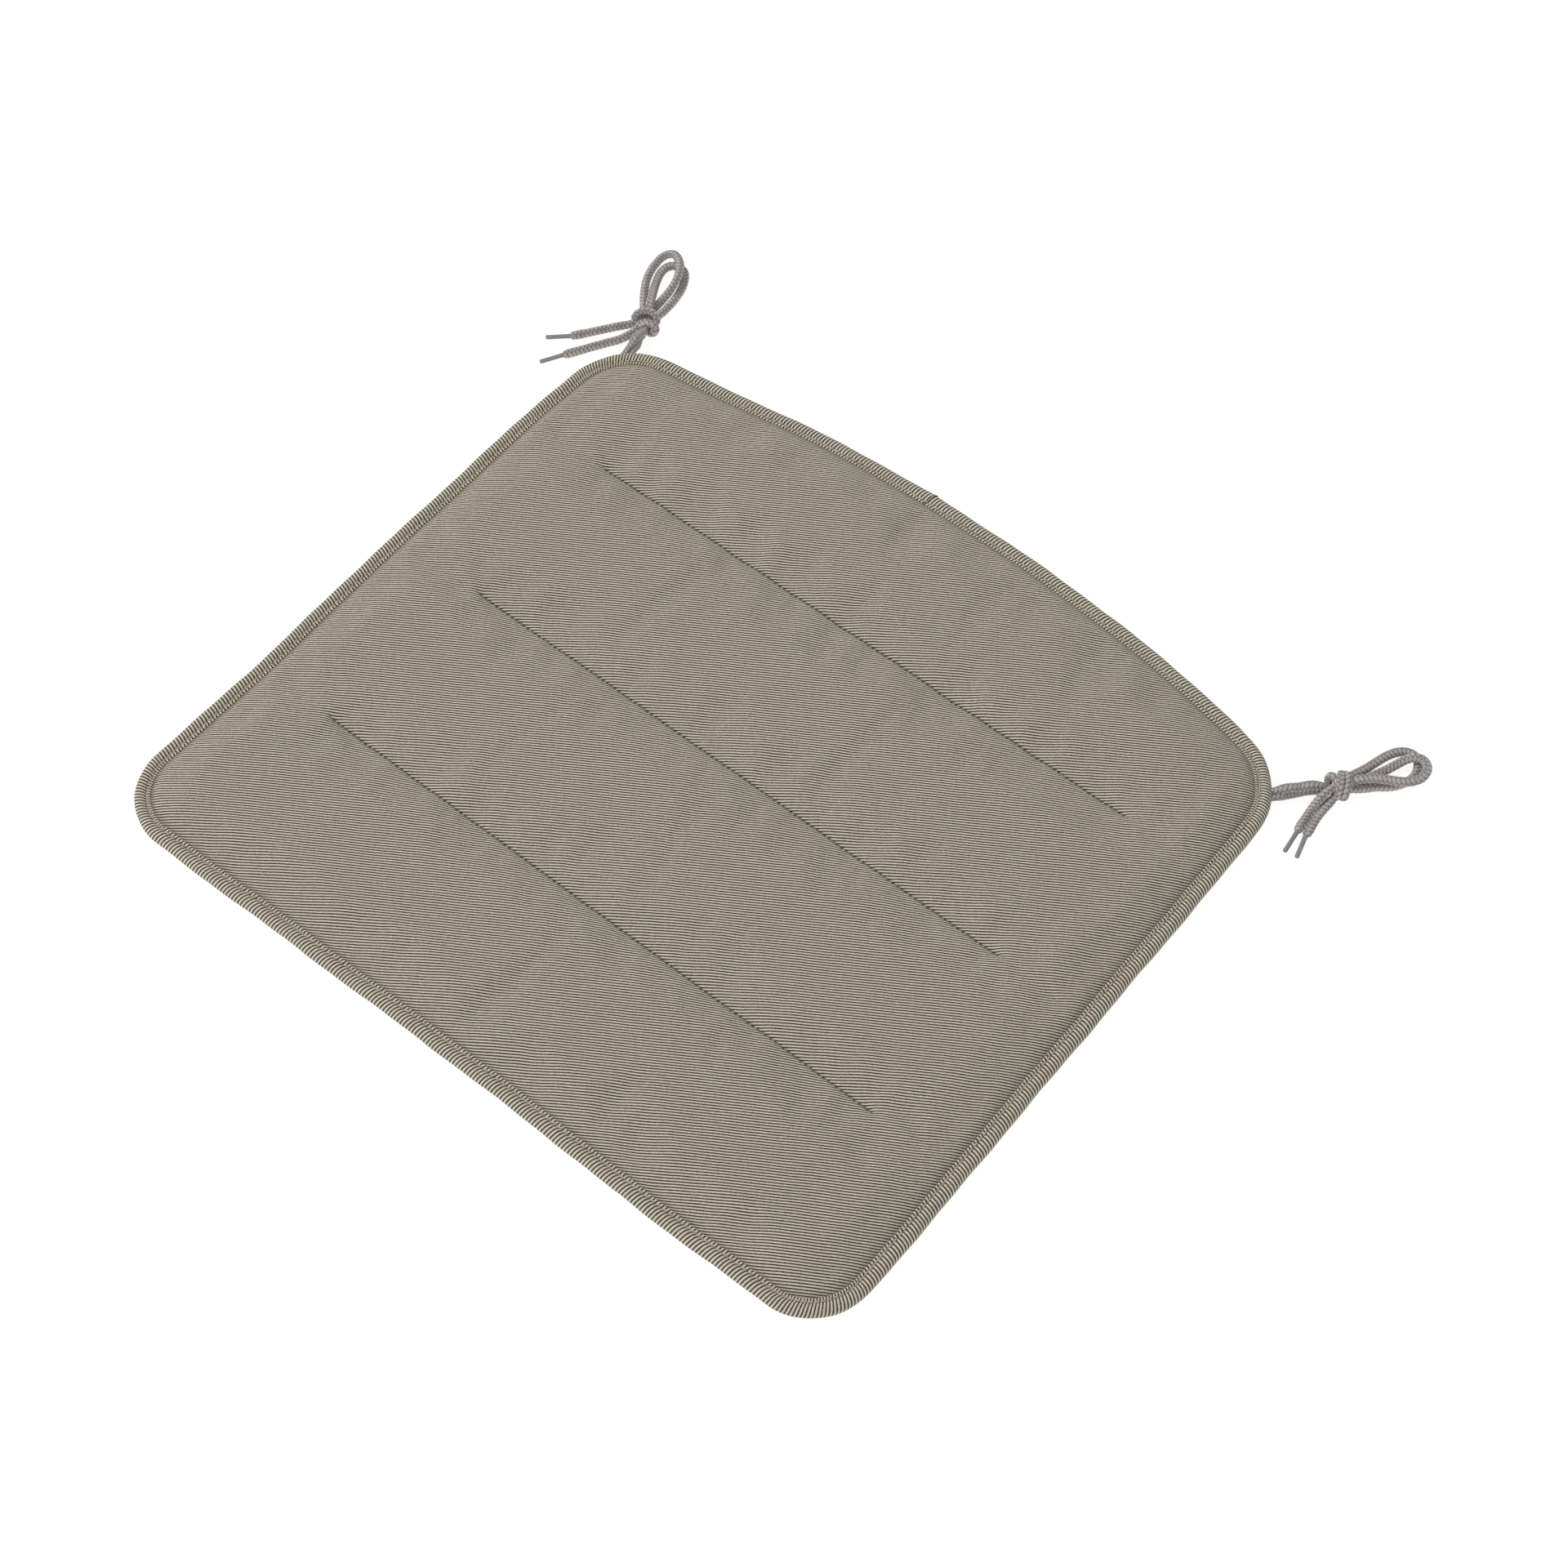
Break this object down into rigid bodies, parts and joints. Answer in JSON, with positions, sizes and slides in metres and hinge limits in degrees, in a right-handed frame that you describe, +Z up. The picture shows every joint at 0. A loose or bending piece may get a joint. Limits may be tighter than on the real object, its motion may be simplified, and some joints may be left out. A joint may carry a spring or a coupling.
{
  "type": "chair seat pad",
  "caption": "Thin quilted chair seat pad with a bowed back edge, bound all round, with braided tie cords in bows at the rear corners.",
  "frame": {"origin": "centre of the pad's outline, on the surface that it lies on", "axes": "+Z up, +X to the sitter's left of the chair as the pad's width, +Y towards the back edge with the tie cords"},
  "size_m": [0.4875, 0.4146, 0.014],
  "materials": {
    "cover_fabric": "fine twill, cream ridges over dark brown lines",
    "binding_fabric": "the same twill, cut as a tape and folded",
    "foam": "open-cell foam, not seen",
    "thread": "spun sewing thread",
    "cord": "braided polyester cord",
    "aglet": "smooth moulded tip, satin"
  },
  "bodies": {
    "root": {"top_cover_panel": "cover_fabric", "bottom_cover_panel": "cover_fabric", "foam_pad": "foam", "edge_binding": "binding_fabric", "binding_thread_top": "thread", "binding_thread_bottom": "thread", "quilt_thread_back": "thread", "quilt_thread_middle": "thread", "quilt_thread_front": "thread", "left_cord_a_stem": "cord", "left_cord_a_loop": "cord", "left_cord_a_tail": "cord", "left_cord_b_stem": "cord", "left_cord_b_loop": "cord", "left_cord_b_tail": "cord", "left_bow_knot": "cord", "left_aglet_a": "aglet", "left_aglet_b": "aglet", "right_cord_a_stem": "cord", "right_cord_a_loop": "cord", "right_cord_a_tail": "cord", "right_cord_b_stem": "cord", "right_cord_b_loop": "cord", "right_cord_b_tail": "cord", "right_bow_knot": "cord", "right_aglet_a": "aglet", "right_aglet_b": "aglet"}
  },
  "joints": []
}
